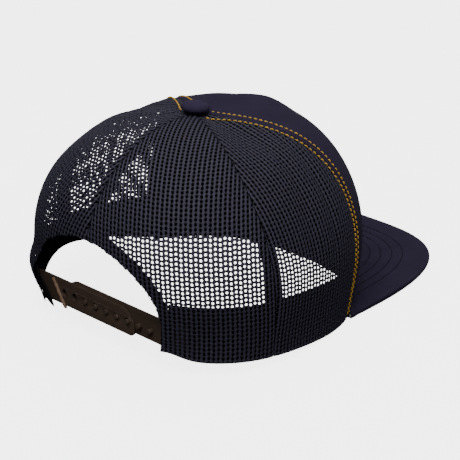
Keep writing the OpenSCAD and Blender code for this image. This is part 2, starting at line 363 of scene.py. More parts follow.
# ---- materials -----------------------------------------------------------------------
class Value:
    """A shader socket that takes part in Python arithmetic."""

    def __init__(self, shader, socket):
        self.shader, self.socket = shader, socket

    def _math(self, operation, *values):
        return self.shader.node("ShaderNodeMath", {"operation": operation}, *values)

    def __add__(self, other): return self._math("ADD", self, other)
    def __radd__(self, other): return self._math("ADD", other, self)
    def __sub__(self, other): return self._math("SUBTRACT", self, other)
    def __rsub__(self, other): return self._math("SUBTRACT", other, self)
    def __mul__(self, other): return self._math("MULTIPLY", self, other)
    def __rtruediv__(self, other): return self._math("DIVIDE", other, self)
    def __pow__(self, other): return self._math("POWER", self, other)
    def sine(self): return self._math("SINE", self)
    def cosine(self): return self._math("COSINE", self)


class Shader:
    """A material's node tree, with one method that adds any node."""

    def __init__(self, name):
        self.material = bpy.data.materials.new(name)
        self.material.use_nodes = True
        self.tree = self.material.node_tree
        self.surface = self.tree.nodes["Principled BSDF"]

    def node(self, kind, settings=None, *values, output=0, **named):
        made = self.tree.nodes.new(kind)
        for key, value in (settings or {}).items():
            if key == "stops":
                ramp = made.color_ramp
                while len(ramp.elements) < len(value):
                    ramp.elements.new(0.5)
                for element, (place, colour) in zip(ramp.elements, value):
                    element.position, element.color = place, (*colour, 1)
            else:
                setattr(made, key, value)
        for key, value in [*enumerate(values), *named.items()]:
            self.feed(made.inputs[key.replace("_", " ") if isinstance(key, str) else key], value)
        return Value(self, made.outputs[output])

    def feed(self, socket, value):
        if isinstance(value, Value):
            self.tree.links.new(value.socket, socket)
        elif isinstance(value, (int, float)) or len(value) != 3 or socket.type == "VECTOR":
            socket.default_value = value
        else:
            socket.default_value = (*value, 1)

    def set(self, **sockets):
        for key, value in sockets.items():
            self.feed(self.surface.inputs[key.replace("_", " ")], value)
        return self

    def place(self):
        return self.node("ShaderNodeTexCoord", output=3)

    def uv(self):
        return self.node("ShaderNodeTexCoord", output=2)

    def noise(self, where, scale, detail=2.0, rough=0.5):
        return self.node("ShaderNodeTexNoise", {}, Vector=where, Scale=scale, Detail=detail,
                         Roughness=rough)

    def split(self, where):
        made = self.tree.nodes.new("ShaderNodeSeparateXYZ")
        self.tree.links.new(where.socket, made.inputs[0])
        return [Value(self, socket) for socket in made.outputs]

    def mix(self, factor, first, second):
        made = self.tree.nodes.new("ShaderNodeMix")
        made.data_type = "RGBA"
        for socket, value in zip((made.inputs[0], made.inputs[6], made.inputs[7]),
                                 (factor, first, second)):
            self.feed(socket, value)
        return Value(self, made.outputs[2])

    def bump(self, height, strength, distance=0.1 * MM):
        self.set(Normal=self.node("ShaderNodeBump", {}, Strength=strength, Distance=distance,
                                  Height=height))
        return self


def scaled(colour, factor):
    return tuple(channel * factor for channel in colour)


def ripple(place, period):
    """Waves from -1 to 1 along a place, one in every period."""
    return (place * (2 * math.pi / period)).sine()


MATERIALS = {}


def finish_of(name):
    if name not in MATERIALS:
        MATERIALS[name] = globals()["make_" + name](colours())
    return MATERIALS[name]


def twill(name, colour, light, period):
    """Diagonal twill weave on the piece's UV map, which is in metres."""
    sh = Shader(name)
    uv = sh.uv()
    x, y, _ = sh.split(uv)
    ribs = ripple(x + y, period)
    threads = ripple(x - y, period * 0.8)
    cloud = sh.noise(uv, 60.0, 3.0)
    slub = sh.noise(uv, 900.0, 2.0)
    height = ribs * 0.6 + threads * 0.3 + slub * 0.8
    tone = (ribs * 0.08 + slub * 0.5 + cloud * 0.6) - 0.25
    sh.set(Base_Color=sh.mix(tone, scaled(colour, 0.72), light), Roughness=0.82 + slub * 0.1,
           Sheen_Weight=0.02, Sheen_Roughness=0.5, Specular_IOR_Level=0.1)
    return sh.bump(height, 0.55, 0.12 * MM).material


def make_navy_cloth(c):
    return twill("navy_cloth", c.navy, scaled(c.navy, 1.5), 0.9 * MM)


def make_bill_cloth(c):
    return twill("bill_cloth", scaled(c.navy, 0.92), scaled(c.navy, 1.35), 0.9 * MM)


def make_button_cloth(c):
    # painted light: the navy cloth made lighter, so the button looks brightly lit from above
    return twill("button_cloth", scaled(c.navy, 1.25), scaled(c.navy, 2.0), 0.9 * MM)


def make_black_twill(c):
    return twill("black_twill", c.lining, scaled(c.lining, 1.8), 0.8 * MM)


def make_black_tape(c):
    sh = Shader("black_tape")
    uv = sh.uv()
    ribs = ripple(sh.split(uv)[1], 0.7 * MM)
    slub = sh.noise(uv, 700.0)
    sh.set(Base_Color=sh.mix(slub, scaled(c.lining, 0.8), scaled(c.lining, 1.9)),
           Roughness=0.85, Specular_IOR_Level=0.06)
    return sh.bump(ribs * 0.6 + slub * 0.6, 0.5).material


def make_buckram(c):
    sh = Shader("buckram")
    uv = sh.uv()
    x, y, _ = sh.split(uv)
    weave = ripple(x, 1.3 * MM) * ripple(y, 1.3 * MM)
    sh.set(Base_Color=sh.mix(weave * 0.4 + 0.5, scaled(c.lining, 0.9), scaled(c.lining, 2.2)),
           Roughness=0.8, Specular_IOR_Level=0.08)
    return sh.bump(weave, 0.6).material


def make_net_yarn(c):
    """Matt knitted yarn, with the odd tinted fibre, a fuzzy surface and painted shade on the crossing strands between
    the wales.
    """
    sh = Shader("net_yarn")
    at = sh.place()
    fibres = sh.noise(at, 2600.0, 3.0, 0.65)
    patches = sh.noise(at, 330.0, 2.0)
    wide = sh.noise(at, 24.0, 2.0)
    base = sh.mix(fibres * 1.4 - 0.2, scaled(c.net, 0.62), scaled(c.net, 1.55))
    brown = (patches - 0.66) * 9.0
    blue = (0.34 - patches) * 9.0
    clamp = {"use_clamp": True, "operation": "MULTIPLY"}
    base = sh.mix(sh.node("ShaderNodeMath", clamp, brown, 0.5), base, (0.075, 0.045, 0.04))
    base = sh.mix(sh.node("ShaderNodeMath", clamp, blue, 0.5), base, (0.022, 0.036, 0.10))
    base = sh.mix(wide * 0.3, base, scaled(c.net, 0.7))
    # painted shade: the colour darkens to a sixth over the middle of each hole column, where the crossing strands lie
    # between the wales
    between = (sh.split(sh.uv())[0] * (2 * math.pi / sizes().net_pitch)).cosine() * 0.5 + 0.5
    base = sh.mix(between ** 1.5, base, scaled(c.net, 0.16))
    sh.set(Base_Color=base, Roughness=0.6, Specular_IOR_Level=0.2)
    return sh.bump(fibres, 0.5, 0.15 * MM).material


def make_gold_thread(c):
    """Two-ply thread: diagonal plies along the stitch."""
    sh = Shader("gold_thread")
    uv = sh.uv()
    x, y, _ = sh.split(uv)
    ply = ripple(x * 2.0 + y, 0.55 * MM)
    hair = sh.noise(uv, 3000.0)
    sh.set(Base_Color=sh.mix(ply * 0.35 + 0.5, scaled(c.gold, 0.62), scaled(c.gold, 1.25)),
           Roughness=0.42, Specular_IOR_Level=0.4)
    return sh.bump(ply + hair * 0.4, 0.6, 0.08 * MM).material


def make_navy_thread(c):
    sh = Shader("navy_thread")
    uv = sh.uv()
    x, y, _ = sh.split(uv)
    ply = ripple(x * 2.0 + y, 0.5 * MM)
    sh.set(Base_Color=sh.mix(ply * 0.4 + 0.5, scaled(c.navy, 0.12), scaled(c.navy, 0.35)),
           Roughness=0.6, Specular_IOR_Level=0.1)
    return sh.bump(ply, 0.5, 0.06 * MM).material


def make_strap_plastic(c):
    """Soft moulded plastic with faint flow marks and fine scuffs."""
    sh = Shader("strap_plastic")
    at = sh.place()
    grain = sh.noise(at, 1500.0, 2.0)
    flow = sh.noise(at, 70.0, 3.0)
    scuffs = sh.noise(at, 420.0, 4.0, 0.7)
    sh.set(Base_Color=sh.mix(flow, scaled(c.plastic, 0.8), scaled(c.plastic, 1.3)),
           Roughness=0.40 + scuffs * 0.2, Specular_IOR_Level=0.3)
    return sh.bump(grain * 0.6 + scuffs * 0.5, 0.25, 0.05 * MM).material


def make_flange_plastic(c):
    sh = Shader("flange_plastic")
    at = sh.place()
    grain = sh.noise(at, 1100.0, 3.0)
    # painted highlight: the strap's own plastic made several times lighter, so the flange's rib looks lit
    sh.set(Base_Color=sh.mix(grain, scaled(c.plastic, 2.2), (0.42, 0.25, 0.16)),
           Roughness=0.5 + grain * 0.15)
    return sh.bump(grain, 0.5, 0.1 * MM).material


def make_board_plastic(c):
    sh = Shader("board_plastic")
    grain = sh.noise(sh.place(), 500.0)
    sh.set(Base_Color=sh.mix(grain, (0.62, 0.62, 0.58), (0.74, 0.74, 0.7)), Roughness=0.5)
    return sh.bump(grain, 0.2).material


def make_rivet_paint(c):
    sh = Shader("rivet_paint")
    wear = sh.noise(sh.place(), 900.0, 3.0)
    sh.set(Base_Color=sh.mix(wear, (0.012, 0.012, 0.014), (0.03, 0.03, 0.032)),
           Roughness=0.3 + wear * 0.2, Metallic=0.2)
    return sh.bump(wear, 0.2, 0.05 * MM).material


def make_foam(c):
    sh = Shader("foam")
    cells = sh.noise(sh.place(), 1800.0, 3.0)
    sh.set(Base_Color=sh.mix(cells, (0.01, 0.01, 0.011), (0.035, 0.035, 0.038)), Roughness=0.9)
    return sh.bump(cells, 0.7, 0.2 * MM).material


# ---- making pieces ---------------------------------------------------------------------
def sizes():
    return bpy.context.scene.cap_sizes


def colours():
    return bpy.context.scene.cap_colours


def deselect():
    bpy.ops.object.select_all(action="DESELECT")


def activate(obj):
    deselect()
    obj.select_set(True)
    bpy.context.view_layer.objects.active = obj
    return obj


def mesh_piece(name, points, faces, uv=None):
    """A new piece from points and faces, with an optional UV place for each point."""
    mesh = bpy.data.meshes.new(name)
    mesh.from_pydata([tuple(p) for p in points], [], faces)
    if uv is not None:
        layer = mesh.uv_layers.new(name="UVMap")
        corners = np.empty(len(mesh.loops), np.int32)
        mesh.loops.foreach_get("vertex_index", corners)
        layer.data.foreach_set("uv", np.asarray(uv, np.float32)[corners].ravel())
    mesh.polygons.foreach_set("use_smooth", [True] * len(mesh.polygons))
    piece = bpy.data.objects.new(name, mesh)
    bpy.context.collection.objects.link(piece)
    return piece


def finish_piece(piece, finish, body="cap", slot=None, replaced=()):
    """Give a piece its finish, body and slot, and name the nodes it stands for."""
    piece.data.materials.clear()
    piece.data.materials.append(finish_of(finish))
    if body:
        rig.ride(piece, body)
    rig.slot(piece, slot or finish)
    if replaced:
        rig.replaces(piece, *replaced)
    return piece


def apply_modifier(piece, kind, **settings):
    activate(piece)
    modifier = piece.modifiers.new(kind.title(), kind)
    for key, value in settings.items():
        setattr(modifier, key, value)
    bpy.ops.object.modifier_apply(modifier=modifier.name)
    return piece


def mesh_from_grid(nu, nw):
    """Faces of a grid of (nu + 1) by (nw + 1) points, row by row."""
    row = nu + 1
    return [(j * row + i, (j + 1) * row + i, (j + 1) * row + i + 1, j * row + i + 1)
            for j in range(nw) for i in range(nu)]


def sheet_piece(name, nu, nw, place, thickness, finish, slot, replaced=()):
    """A closed sheet whose outer face is place(u, w) -> (points, uv), u and w from 0 to 1."""
    u, w = np.meshgrid(np.linspace(0, 1, nu + 1), np.linspace(0, 1, nw + 1))
    points, uv = place(u.ravel(), w.ravel())
    faces = [(f[0], f[3], f[2], f[1]) for f in mesh_from_grid(nu, nw)]
    piece = mesh_piece(name, points, faces, uv)
    face_outwards(piece)
    apply_modifier(piece, "SOLIDIFY", thickness=thickness, offset=-1.0)
    finish_piece(piece, finish, slot=slot, replaced=replaced)
    return piece


def face_outwards(piece):
    """Turn an open crown sheet so that its faces look away from the head."""
    centre = Vector((0, 0, CROWN_HEIGHT * 0.3))
    mesh = piece.data
    total = sum((p.center - centre).dot(p.normal) * p.area for p in mesh.polygons)
    if total < 0:
        mesh.flip_normals()
    mesh.update()


def declare_sheet(piece, width, length, area=None):
    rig.sheet(piece, flat=(width, length), held="stretched", rests_on=[], area=area)


# ---- net panels ------------------------------------------------------------------------
class PanelMap:
    """Flat place (p across, q up) on a crown panel, p from the panel's middle line."""

    ROWS, COLUMNS = 90, 61

    def __init__(self, right, left):
        self.v = np.linspace(0, 1, self.ROWS)
        share = np.linspace(0, 1, 241)
        self.a, self.half = [], []
        middles = []
        for v in self.v:
            a = right(v) + (left(v) - right(v)) * share
            path = cap_point(a, v)
            run = np.concatenate([[0], np.cumsum(np.linalg.norm(np.diff(path, axis=0), axis=1))])
            wanted = np.linspace(0, run[-1], self.COLUMNS)
            self.a.append(np.interp(wanted, run, a))
            self.half.append(run[-1] / 2)
            middles.append(cap_point(self.a[-1][self.COLUMNS // 2], v))
        steps = np.linalg.norm(np.diff(np.array(middles), axis=0), axis=1)
        self.q = np.concatenate([[0], np.cumsum(steps)])
        self.a, self.half = np.array(self.a), np.array(self.half)

    def size(self):
        return 2 * self.half.max(), self.q[-1]

    def at(self, p, q):
        """Direction, v, and how far the place lies beyond the panel's edges."""
        v = np.interp(q, self.q, self.v)
        row = v * (self.ROWS - 1)
        half = np.interp(v, self.v, self.half)
        share = p / half
        beyond = np.maximum(np.abs(share) - 1, 0) * half
        beyond = np.maximum(beyond, np.maximum(-q, q - self.q[-1]))
        column = (np.clip(share, -1, 1) + 1) / 2 * (self.COLUMNS - 1)
        r0 = np.clip(row.astype(int), 0, self.ROWS - 2)
        c0 = np.clip(column.astype(int), 0, self.COLUMNS - 2)
        fr, fc = row - r0, column - c0
        a = ((self.a[r0, c0] * (1 - fc) + self.a[r0, c0 + 1] * fc) * (1 - fr)
             + (self.a[r0 + 1, c0] * (1 - fc) + self.a[r0 + 1, c0 + 1] * fc) * fr)
        return a, v, beyond


def push_out_of_arch(a, v):
    """Move places inside the rear opening onto its edge."""
    x = (180 - a) / (180 - ARCH_FROM)
    y = np.maximum(v - ARCH_LOW, 0) / (ARCH_TOP - ARCH_LOW)
    ripple = 1 + 0.006 * np.sin(np.arctan2(y, x) * 61) + 0.006 * np.sin(np.arctan2(y, x) * 23)
    norm = (np.abs(x) ** ARCH_POWER + np.abs(y) ** ARCH_POWER) ** (1 / ARCH_POWER) / ripple
    inside = norm < 1
    scale = np.where(inside, 1 / np.maximum(norm, 0.05), 1)
    depth_inside = np.where(inside, (1 - norm) * ARCH_HALF_WIDTH, 0)
    foot = inside & (v < ARCH_LOW)
    v_out = np.where(inside & ~foot, ARCH_LOW + y * scale * (ARCH_TOP - ARCH_LOW), v)
    return 180 - x * scale * (180 - ARCH_FROM), v_out, depth_inside


# Eight points round a cell, starting at its right and turning left: corners and middles
RING = [(1, 0), (1, 1), (0, 1), (-1, 1), (-1, 0), (-1, -1), (0, -1), (1, -1)]


def net_lattice(half_width, height, cell):
    """Points and faces of a knitted lattice, flat: p, q, rise and the faces."""
    size = sizes()
    columns = int(math.ceil(half_width / cell)) + 2
    rows = int(math.ceil(height / cell)) + 3
    index, points = {}, []

    def vertex(key, p, q, rise):
        if key not in index:
            index[key] = len(points)
            points.append((p, q, rise))
        return index[key]

    def ridge(i, j, side):
        """Crest of the strands: i and j count half cells."""
        corner = i % 2 == 1 and j % 2 == 1
        column, row = (i - 1) // 2, (j - 1) // 2
        sway = 0.13 * cell * (1 if (row + column) % 2 else -1) if corner else 0.0
        wale = i % 2 == 1
        step = 0.08 * cell * (1 if ((i + 1) // 2) % 2 else -1)
        rise = size.wale_rise if wale else size.cross_rise
        if corner:
            rise = size.knot_rise
        return vertex(("r", i, j, side), i * cell / 2 + sway, j * cell / 2 + step, side * rise)

    faces = []
    for column in range(-columns, columns + 1):
        odd = column % 2
        lean = math.radians(26 if odd else -14)
        for row in range(-1, rows):
            cp, cq = column * cell, row * cell
            shift = 0.10 * cell * (1 if odd else -1)
            open_share = 0.12 if row < 1 else 1.0      # the turned-up edge is closed
            wide = size.hole_width / 2 * (1.0 if odd else 0.94) * open_share
            tall = size.hole_height / 2 * (0.94 if odd else 1.06) * open_share
            for side in (1, -1):
                crest, shoulder, lip = [], [], []
                for k, (dx, dy) in enumerate(RING):
                    crest.append(ridge(2 * column + dx, 2 * row + dy, side))
                    turn = math.radians(45 * k)
                    ex, ey = wide * math.cos(turn), tall * math.sin(turn)
                    hx = ex * math.cos(lean) - ey * math.sin(lean)
                    hy = ex * math.sin(lean) + ey * math.cos(lean) + shift
                    lip.append(vertex(("h", column, row, k), cp + hx, cq + hy, 0.0))
                    rp, rq, rise = points[crest[-1]]
                    shoulder.append(vertex(("s", column, row, k, side),
                                           rp * 0.48 + (cp + hx) * 0.52,
                                           rq * 0.48 + (cq + hy) * 0.52, rise * 0.80))
                for k in range(8):
                    n = (k + 1) % 8
                    for quad in ((crest[k], crest[n], shoulder[n], shoulder[k]),
                                 (shoulder[k], shoulder[n], lip[n], lip[k])):
                        faces.append(quad if side > 0 else quad[::-1])
    return np.array(points), faces


def net_panel(name, right, left, arch, mirrored, replaced):
    panel = PanelMap(right, left)
    width, height = panel.size()
    cell = sizes().net_pitch
    flat, faces = net_lattice(width / 2, height, cell)
    a, v, beyond = panel.at(flat[:, 0], flat[:, 1])
    if arch:
        a, v, inside = push_out_of_arch(a, v)
        beyond = np.maximum(beyond, inside)
    rise = np.where(beyond > 0, 0.0, flat[:, 2])
    level = 0.45 * MM
    wobble = 0.10 * MM * np.sin(flat[:, 0] * 2100) * np.sin(flat[:, 1] * 1900)
    points = crown_point(-a if mirrored else a, v, level + wobble - rise)
    far = beyond > 1.6 * cell
    kept = [f for f in faces if not all(far[i] for i in f)]
    if mirrored:
        kept = [f[::-1] for f in kept]
    piece = mesh_piece(name, points, kept, flat[:, :2])
    activate(piece)
    bm = bmesh.new()
    bm.from_mesh(piece.data)
    bmesh.ops.remove_doubles(bm, verts=bm.verts, dist=0.03 * MM)
    bmesh.ops.dissolve_degenerate(bm, edges=bm.edges, dist=0.02 * MM)
    bmesh.ops.delete(bm, geom=[one for one in bm.verts if not one.link_faces], context="VERTS")
    for face in bm.faces:
        face.smooth = True
    bm.to_mesh(piece.data)
    bm.free()
    finish_piece(piece, "net_yarn", slot="net", replaced=replaced)
    return piece, panel


class CapSizes(bpy.types.PropertyGroup):
    """Sizes of the cap's cloth, net and stitching"""
    net_pitch: bpy.props.FloatProperty(
        name="Net pitch", description="Distance between the net's holes",
        default=2.62 * MM, subtype="DISTANCE", precision=5)
    hole_width: bpy.props.FloatProperty(
        name="Hole width", description="Width of a hole in the net",
        default=1.46 * MM, subtype="DISTANCE", precision=5)
    hole_height: bpy.props.FloatProperty(
        name="Hole height", description="Height of a hole in the net",
        default=1.56 * MM, subtype="DISTANCE", precision=5)
    wale_rise: bpy.props.FloatProperty(
        name="Wale rise", description="Rise of the net's upright strands",
        default=0.32 * MM, subtype="DISTANCE", precision=5)
    cross_rise: bpy.props.FloatProperty(
        name="Cross rise", description="Rise of the net's crossing strands",
        default=0.19 * MM, subtype="DISTANCE", precision=5)
    knot_rise: bpy.props.FloatProperty(
        name="Knot rise", description="Rise of the net where strands meet",
        default=0.38 * MM, subtype="DISTANCE", precision=5)
    stitch_pitch: bpy.props.FloatProperty(
        name="Seam stitch", description="Length of one stitch of the seams with its gap",
        default=3.0 * MM, subtype="DISTANCE", precision=5)
    stitch_offset: bpy.props.FloatProperty(
        name="Seam stitch offset", description="Distance of the stitching from its seam",
        default=3.6 * MM, subtype="DISTANCE", precision=5)
    bill_row_step: bpy.props.FloatProperty(
        name="Bill row step", description="Distance between rows of bill stitching",
        default=6.0 * MM, subtype="DISTANCE", precision=5)
    bill_first_row: bpy.props.FloatProperty(
        name="First bill row", description="Distance of the outer row from the bill's edge",
        default=15.0 * MM, subtype="DISTANCE", precision=5)
    bill_rows: bpy.props.IntProperty(
        name="Bill rows", description="Rows of stitching on the bill", default=6, min=1)


class CapColours(bpy.types.PropertyGroup):
    """Colours of the cap's materials"""
    navy: bpy.props.FloatVectorProperty(
        name="Cloth", description="Cloth of the front, bill and button", subtype="COLOR",
        default=(0.027, 0.0205, 0.047))
    net: bpy.props.FloatVectorProperty(
        name="Net", description="Yarn of the net", subtype="COLOR",
        default=(0.045, 0.042, 0.068))
    lining: bpy.props.FloatVectorProperty(
        name="Lining", description="Tapes, sweatband and binding", subtype="COLOR",
        default=(0.005, 0.005, 0.006))
    gold: bpy.props.FloatVectorProperty(
        name="Seam thread", description="Thread of the front seams", subtype="COLOR",
        default=(0.82, 0.47, 0.040))
    plastic: bpy.props.FloatVectorProperty(
        name="Strap", description="Plastic of the strap", subtype="COLOR",
        default=(0.066, 0.044, 0.032))


class CAP_OT_net_panels(bpy.types.Operator):
    """Knit the four net panels over the crown's sides and back"""
    bl_idname = "cap.net_panels"
    bl_label = "Net panels"

    def execute(self, context):
        lines = {"side": (lambda v: seam(FRONT_SEAM, v) + 0.1,
                          lambda v: seam(SIDE_SEAM, v) - 0.1),
                 "back": (lambda v: seam(SIDE_SEAM, v) + 0.1, lambda v: 180 - 0.03)}
        for place, (right, left) in lines.items():
            for hand in ("right", "left"):
                piece, panel = net_panel(
                    f"net_panel_{place}_{hand}", right, left, place == "back",
                    hand == "left", [f"{place}_mesh_{hand}"])
                width, length = panel.size()
                declare_sheet(piece, width, length, area=PANEL_CUT[place] * width * length)
        return {"FINISHED"}


# Share of each net panel's rectangle that is left when its outline is cut
PANEL_CUT = {"side": 0.62, "back": 0.50}


# ---- front panel and linings ----------------------------------------------------------
def front_crease(x, v):
    """Soft fold that runs forward from the button along the middle of the front."""
    reach = 15 * MM
    fade = np.clip((v - 0.30) / 0.4, 0, 1)
    peak = np.sqrt((x / reach) ** 2 + 0.006)
    return 2.2 * MM * np.clip(1 - peak, 0, 1) * fade ** 2 * (3 - 2 * fade) * np.clip(
        (1.0 - v) / 0.12, 0, 1) ** 0.6


def front_place(first, last, depth, low=0.0, creased=True, high=1.0):
    def place(u, w):
        v = low + (high - low) * w
        a = first(v) + (last(v) - first(v)) * u
        base = cap_point(a, v)
        extra = front_crease(base[:, 0], v) if creased else 0.0
        run = np.abs(last(v) - first(v)) / degrees_per_metre(seam(FRONT_SEAM, v) * 0.6, v)
        uv = np.stack([(u - 0.5) * run, v * 150 * MM], -1)
        return crown_point(a, v, depth - extra), uv
    return place


class CAP_OT_front(bpy.types.Operator):
    """Lay the cloth front panel and the stiff lining behind it"""
    bl_idname = "cap.front"
    bl_label = "Front panel"

    def execute(self, context):
        front = sheet_piece(
            "front_cloth", 110, 90,
            front_place(lambda v: 0.05 - seam(FRONT_SEAM, v),
                        lambda v: seam(FRONT_SEAM, v) - 0.05, 0.0),
            0.7 * MM, "navy_cloth", "navy_cloth", ["front_panel"])
        lining = sheet_piece(
            "front_lining", 60, 50,
            front_place(lambda v: 3 - seam(FRONT_SEAM, v), lambda v: seam(FRONT_SEAM, v) - 3,
                        0.95 * MM, 0.012),
            0.5 * MM, "buckram", "buckram", ["front_buckram"])
        width, length = 215 * MM, 150 * MM
        for piece, share in ((front, 0.80), (lining, 0.76)):
            declare_sheet(piece, width, length, area=share * width * length)
        return {"FINISHED"}


TAPE_WIDTH, TAPE_TOP, TAPE_BOW, SEAM_LENGTH = 11 * MM, 0.93, 0.25 * MM, 150 * MM


def strip_place(line, low, high, width, depth):
    """A tape that follows line(v), its middle a little proud of its edges."""
    def place(u, w):
        v = low + (high - low) * w
        across = (u - 0.5) * width
        a = line(v) + across * degrees_per_metre(line(v) - 0.6, v)
        bowed = depth + TAPE_BOW * (1 - (2 * u - 1) ** 2)
        uv = np.stack([across, w * SEAM_LENGTH], -1)
        return crown_point(a, v, bowed), uv
    return place


class CAP_OT_linings(bpy.types.Operator):
    """Lay the tapes over the seams inside the crown, and the binding of the rear opening"""
    bl_idname = "cap.linings"
    bl_label = "Seam tapes and binding"

    def execute(self, context):
        tapes = {"back": (lambda v: 180 + 0 * v, ARCH_TOP + 0.09, ("",)),
                 "side": (lambda v: seam(SIDE_SEAM, v), 0.01, ("_right", "_left")),
                 "front": (lambda v: seam(FRONT_SEAM, v), 0.01, ("_right", "_left"))}
        for place, (line, low, hands) in tapes.items():
            for hand in hands:
                sign = -1 if hand == "_left" else 1
                piece = sheet_piece(
                    f"tape_{place}{hand}", 8, 60,
                    strip_place(lambda v, s=sign: s * line(v), low, TAPE_TOP, TAPE_WIDTH,
                                1.7 * MM),
                    0.45 * MM, "black_tape", "black_tape", [f"seam_tape_{place}{hand}"])
                declare_sheet(piece, TAPE_WIDTH, (TAPE_TOP - low) * SEAM_LENGTH)
        self.binding()
        return {"FINISHED"}

    def binding(self):
        """Edge tape of the opening. Its left foot is widened over the strap's sewn end."""
        width, length, foot = 10 * MM, 160 * MM, 0.12    # foot: share of the length at each end
        widening, widens_from, widens_over = 2.6, 0.82, 0.10
        right_foot, left_foot = 0.01, 0.24               # how far above the rim each one stops
        wide_angle, wide_level = 4.2, 0.052              # the tape's width in a and in v

        def place(u, w):
            turn = math.pi * np.clip((u - foot) / (1 - 2 * foot), 0, 1)
            overhang = widening * smooth_step((u - widens_from) / widens_over)
            w = w * (1 + overhang) - overhang
            half = 180 - ARCH_FROM + w * wide_angle
            high = ARCH_TOP + w * wide_level - ARCH_LOW
            a = 180 - half * signed_power(np.cos(turn), 2 / ARCH_POWER)
            shortest = np.where(u > 0.5, left_foot, right_foot)
            v = (ARCH_LOW * np.clip(np.minimum(u, 1 - u) / foot, shortest, 1)
                 + high * np.clip(np.sin(turn), 0, 1) ** (2 / ARCH_POWER))
            a = np.where(a > 180, a - 360, a)
            uv = np.stack([u * length, w * width], -1)
            return crown_point(a, v, 1.55 * MM + 0.3 * MM * w), uv
        piece = sheet_piece("arch_binding_cloth", 120, 6, place, 0.5 * MM, "black_tape",
                            "black_tape", ["arch_binding"])
        declare_sheet(piece, width, length)


class CAP_OT_sweatband(bpy.types.Operator):
    """Fold the sweatband round the inside of the rim"""
    bl_idname = "cap.sweatband"
    bl_label = "Sweatband"

    def execute(self, context):
        end = rim_direction(48.6 * MM, 3 * MM)

        def place(u, w):
            a = end * (2 * u - 1)
            z = BAND_HEIGHT * (0.01 + 0.99 * w)
            swell = 1.0 * MM * np.sin(np.pi * np.clip(w, 0, 1)) + 0.25 * MM * np.sin(
                np.radians(a * 9)) * w
            v = level_to_v(a, z)
            turned = 1.9 * MM * np.clip(1 - w / 0.14, 0, 1)
            uv = np.stack([u * 0.52, z], -1)
            return lining_point(a, v, 3.0 * MM + swell - turned), uv
        band = sheet_piece("sweatband_cloth", 160, 14, place, 0.9 * MM, "black_twill",
                           "black_twill", ["sweatband"])
        middle = place(np.linspace(0, 1, 201), np.full(201, 0.5))[0]
        length = float(np.linalg.norm(np.diff(middle, axis=0), axis=1).sum())
        declare_sheet(band, length, BAND_HEIGHT)

        def foam_place(u, w):
            a = 56 * (2 * u - 1)
            z = (2 + 26 * w) * MM
            uv = np.stack([u * 0.17, z], -1)
            return lining_point(a, level_to_v(a, z), 2.2 * MM), uv
        foam = sheet_piece("sweatband_foam_strip", 60, 6, foam_place, 0.6 * MM, "foam", "foam",
                           ["sweatband_foam"])
        declare_sheet(foam, 0.165, 0.026)
        return {"FINISHED"}


class CAP_OT_button(bpy.types.Operator):
    """Cover the top button with pulled cloth"""
    bl_idname = "cap.button"
    bl_label = "Top button"

    def execute(self, context):
        low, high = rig.box("top_button")
        radius = (high.x - low.x) / 2
        deselect()
        bpy.ops.mesh.primitive_uv_sphere_add(segments=64, ring_count=32, radius=radius,
                                             location=(0, 0, 0))
        button = bpy.context.object
        button.name = "button_cover"
        foot = Vector(seat([0, BUTTON_Y, CROWN_HEIGHT + 3.1 * MM]))
        tilt = Matrix.Rotation(PITCH, 4, "X")
        dome, skirt, flatness = 3.6 * MM, 3.2 * MM, 0.85
        folds, fold_depth = 9, 0.016                     # slight pleats towards the foot
        for vertex in button.data.vertices:
            x, y, z = vertex.co / radius
            ring, angle = math.hypot(x, y), math.atan2(y, x)
            fold = 1 + fold_depth * math.sin(angle * folds + 1.3) * ring * max(0.0, 0.5 - z)
            height = math.copysign(abs(z) ** flatness, z) * (dome if z > 0 else skirt)
            vertex.co = tilt @ Vector((x * radius * fold, y * radius * fold, height)) + foot
        uv = button.data.uv_layers.active.data
        for loop in button.data.loops:
            co = button.data.vertices[loop.vertex_index].co
            uv[loop.index].uv = (co.x, co.y)
        bpy.ops.object.shade_smooth()
        # the button's cloth is the lighter copy of the navy cloth, a painted light
        finish_piece(button, "button_cloth", slot="navy_cloth", replaced=["top_button"])
        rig.padded(button, 0.9)
        return {"FINISHED"}


# ---- bill ------------------------------------------------------------------------------
BILL_HALF, BILL_REACH, BILL_POWER = 82.5 * MM, 74 * MM, 3.3
BILL_CORNER_Z, BILL_TILT = 5.2 * MM, math.radians(5)
BILL_THICK = 3.04 * MM
BILL_CLEAR = -0.9 * MM         # negative: its heel runs on inside the crown
GROOVE_DEPTH, GROOVE_WIDTH = 0.32 * MM, 0.9 * MM
CORNER_Y = float(cap_point(FRONT_SEAM[0], 0, -0.6 * MM)[1])
BILL_LENGTH = FRONT_REACH + BILL_REACH + CORNER_Y


def bill_place(x, y, height):
    """A place in the bill's plan, at a height over its upper face, in the row's frame."""
    c, s = math.cos(BILL_TILT), math.sin(BILL_TILT)
    along = y - CORNER_Y
    return seat(np.stack([x, CORNER_Y + along * c + height * s,
                          BILL_CORNER_Z - along * s + height * c], -1))


def bill_edge(t, inset=0.0):
    """Outline of the bill, or of a row inside it: t from -1 at the right to 1 at the left."""
    turn = np.asarray(t) * math.pi / 2
    power = 2 / BILL_POWER
    return np.stack([(BILL_HALF - inset) * signed_power(np.sin(turn), power),
                     CORNER_Y - (BILL_LENGTH - inset) * np.cos(turn) ** power], -1)


def bill_inset(x, y):
    """How far inside the bill's outline a place lies, along rows like the outline."""
    low, high = np.zeros_like(x), np.full_like(x, 80 * MM)
    for _ in range(22):
        middle = (low + high) / 2
        side = np.abs(x) / np.maximum(BILL_HALF - middle, 1e-4)
        front = np.maximum(CORNER_Y - y, 0) / np.maximum(BILL_LENGTH - middle, 1e-4)
        inside = side ** BILL_POWER + front ** BILL_POWER < 1
        low, high = np.where(inside, middle, low), np.where(inside, high, middle)
    return low


